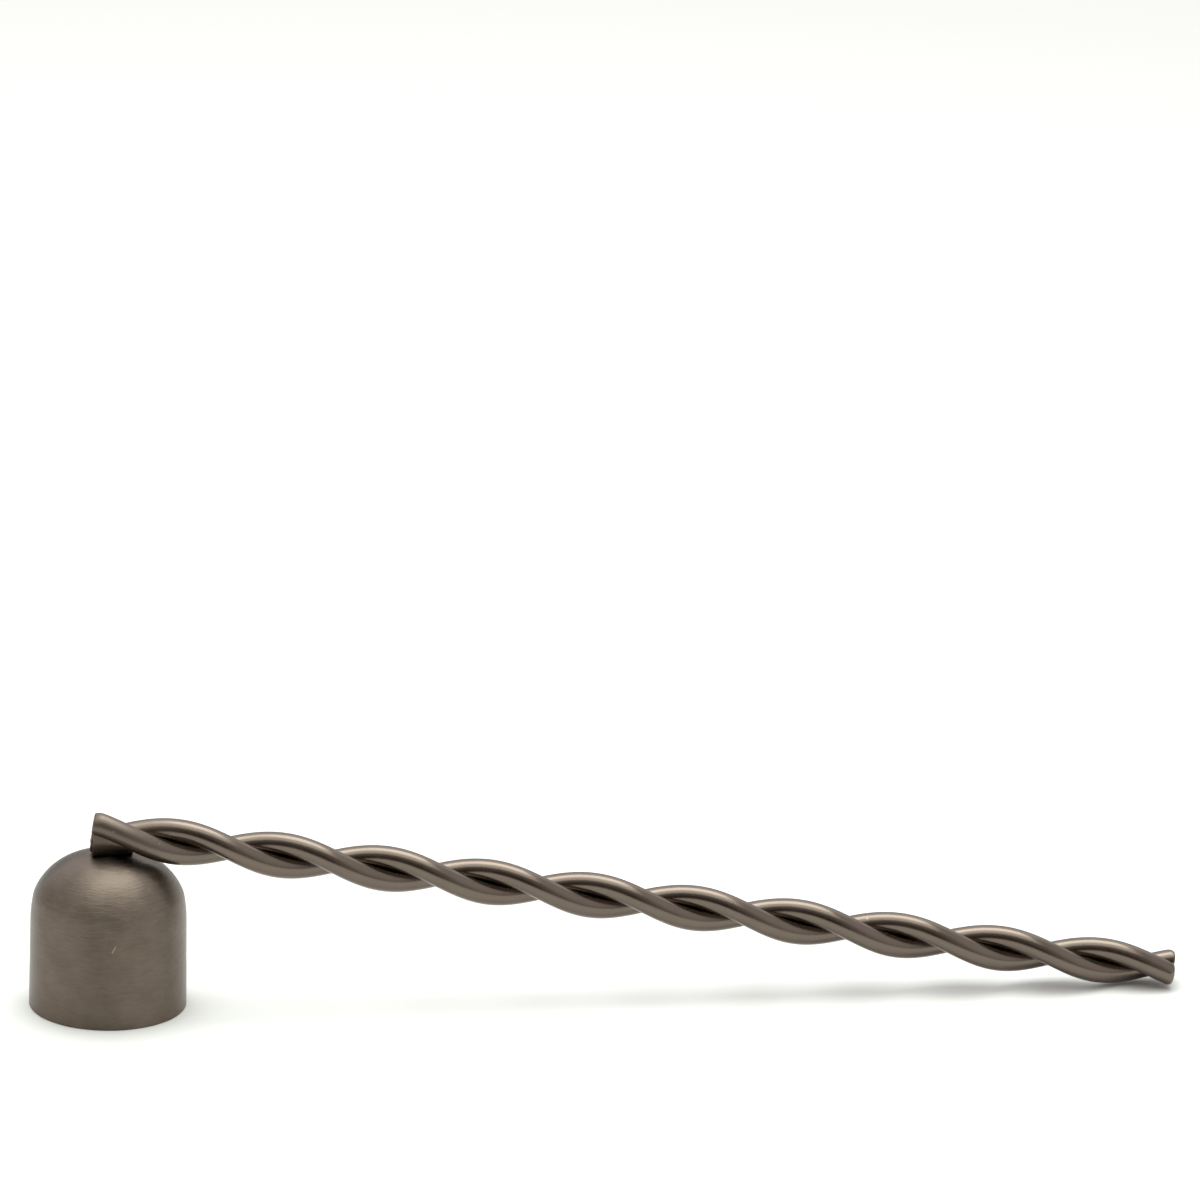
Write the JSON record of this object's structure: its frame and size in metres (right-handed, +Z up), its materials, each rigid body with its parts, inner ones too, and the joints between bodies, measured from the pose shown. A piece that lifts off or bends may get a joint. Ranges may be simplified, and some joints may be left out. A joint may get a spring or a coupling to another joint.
{
  "type": "candle snuffer",
  "caption": "Candle snuffer: an open-bottomed domed metal bell brazed under the end of a straight handle of twisted round rods.",
  "frame": {"origin": "under the middle of the whole object, level with the surface it lies on", "axes": "+Z up; +X from the bell along the handle towards its far end; the bell's axis is parallel to Z"},
  "size_m": [0.2048, 0.0276, 0.0362],
  "materials": {
    "bell_plated_steel": "satin gunmetal plating over fine turning lines round the bell",
    "rod_plated_steel": "satin gunmetal plating over drawn round rod",
    "braze_plated": "satin gunmetal plating over smooth filler metal"
  },
  "bodies": {
    "root": {"bell": "bell_plated_steel", "handle_rod_front": "rod_plated_steel", "handle_rod_rear": "rod_plated_steel", "braze_fillet": "braze_plated"}
  },
  "joints": []
}
